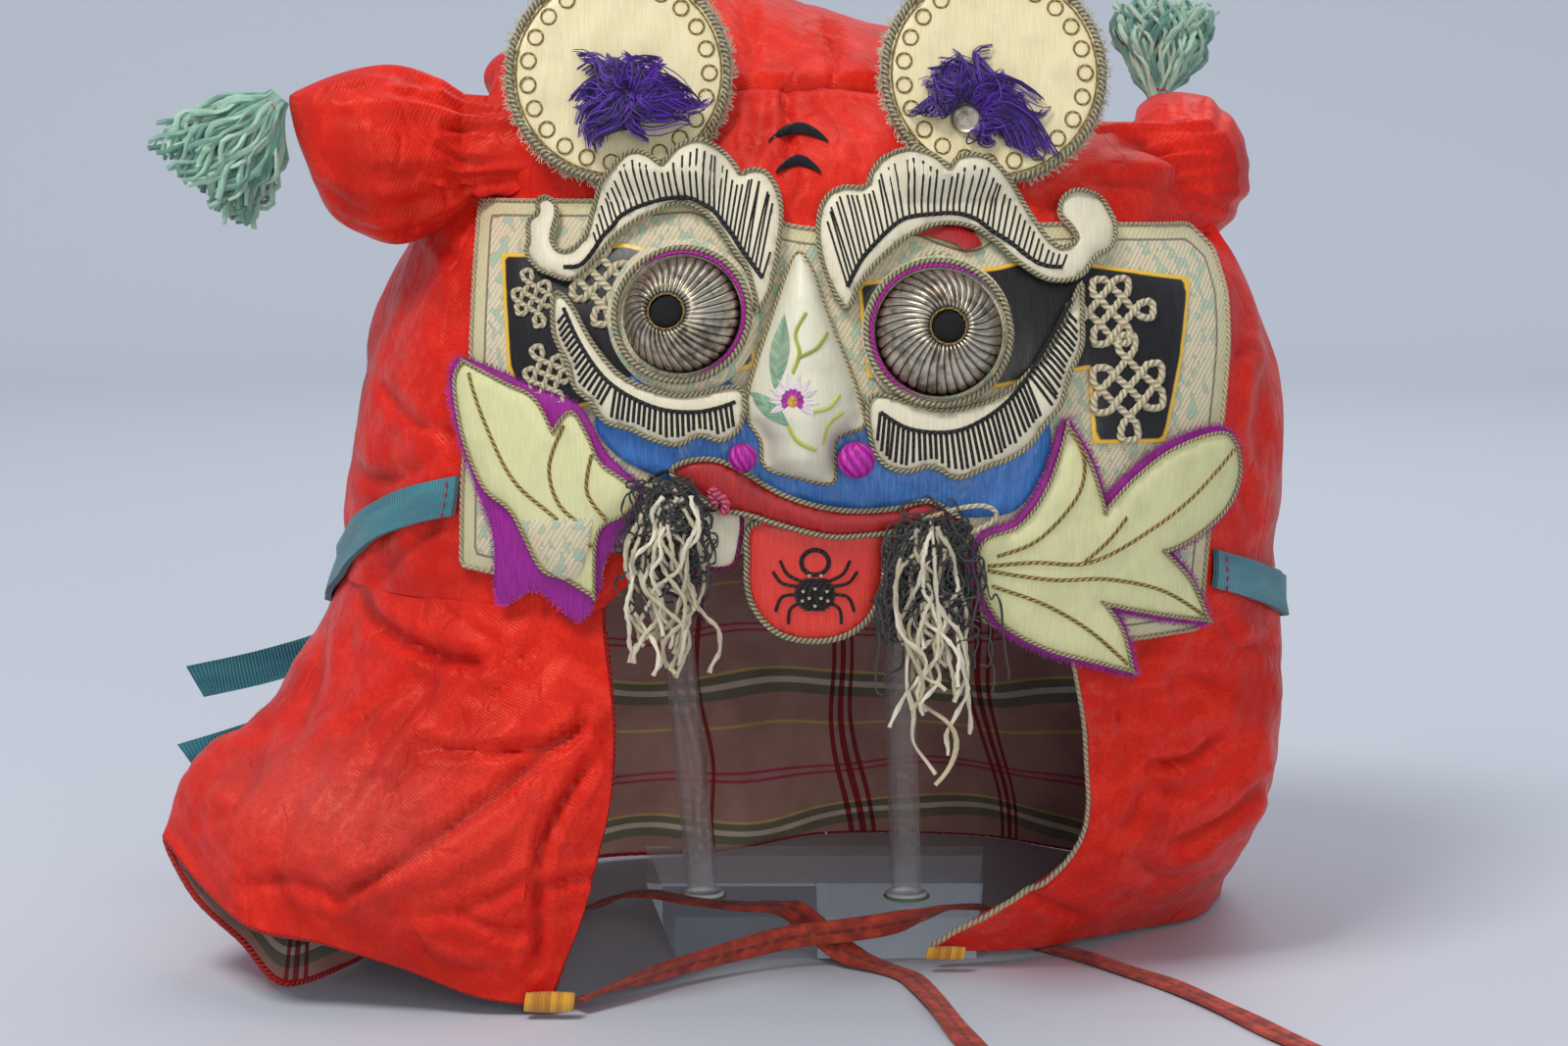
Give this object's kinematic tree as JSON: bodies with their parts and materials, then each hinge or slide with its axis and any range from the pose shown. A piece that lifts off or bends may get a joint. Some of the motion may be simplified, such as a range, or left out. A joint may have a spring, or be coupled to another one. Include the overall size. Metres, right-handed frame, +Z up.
{
  "type": "tiger hat on a clear stand",
  "caption": "Padded red silk child's hood with a tiger face, ears, tasselled horns, neck cape and ties, resting on a clear acrylic stand.",
  "frame": {"origin": "under the stand's base, on the floor, below the middle of the hat", "axes": "+Z up, the face looks along -Y, +X is the viewer's right"},
  "size_m": [0.2933, 0.2286, 0.2347],
  "materials": {
    "black_satin": "black satin",
    "black_yarn": "black and cream yarn",
    "blue_satin": "blue damask satin",
    "brocade": "pale green and cream brocade",
    "clear_acrylic": "clear acrylic",
    "cream_silk": "cream silk",
    "fur": "pale fuzzy edging",
    "leaf_satin": "pale leaf-green satin",
    "magenta_silk": "magenta silk",
    "mint_yarn": "mint plied yarn",
    "purple_floss": "purple silk floss",
    "red_satin": "red satin",
    "red_silk": "red damask silk",
    "silver": "dull stamped silver-coloured metal",
    "teal_ribbon": "teal ribbon",
    "tie_cloth": "faded red stitched cloth strip",
    "yellow_thread": "yellow thread"
  },
  "bodies": {
    "root": {"cape_left": "red_silk", "cape_right": "red_silk", "face_panel": "brocade", "forehead_stripe_lower": "black_satin", "forehead_stripe_upper": "black_satin", "hood_left": "red_silk", "hood_right": "red_silk", "left_black_patch": "black_satin", "left_brow": "cream_silk", "left_ear": "cream_silk", "left_ear_backing": "fur", "left_ear_button": "silver", "left_ear_tassel": "purple_floss", "left_eye": "silver", "left_eye_pad": "brocade", "left_eye_rim": "magenta_silk", "left_knob": "red_silk", "left_knob_tassel": "mint_yarn", "left_leaf": "leaf_satin", "left_leaf_backing": "magenta_silk", "left_lower_lid": "cream_silk", "left_nostril": "magenta_silk", "left_pupil": "black_satin", "left_tie": "tie_cloth", "left_tie_tack": "yellow_thread", "left_whisker_tassel": "black_yarn", "muzzle": "blue_satin", "neck_ribbon": "teal_ribbon", "nose": "cream_silk", "ribbon_end_lower": "teal_ribbon", "ribbon_end_upper": "teal_ribbon", "ribbon_knot": "teal_ribbon", "right_black_patch": "black_satin", "right_brow": "cream_silk", "right_ear": "cream_silk", "right_ear_backing": "fur", "right_ear_button": "silver", "right_ear_tassel": "purple_floss", "right_eye": "silver", "right_eye_pad": "brocade", "right_eye_rim": "magenta_silk", "right_knob": "red_silk", "right_knob_tassel": "mint_yarn", "right_leaf": "leaf_satin", "right_leaf_backing": "magenta_silk", "right_lower_lid": "cream_silk", "right_nostril": "magenta_silk", "right_pupil": "black_satin", "right_tie": "tie_cloth", "right_tie_tack": "yellow_thread", "right_whisker_tassel": "black_yarn", "stand_base": "clear_acrylic", "stand_rod_left": "clear_acrylic", "stand_rod_right": "clear_acrylic", "stand_top": "clear_acrylic", "teeth": "cream_silk", "tongue": "red_satin", "upper_lip": "red_satin"}
  },
  "joints": []
}
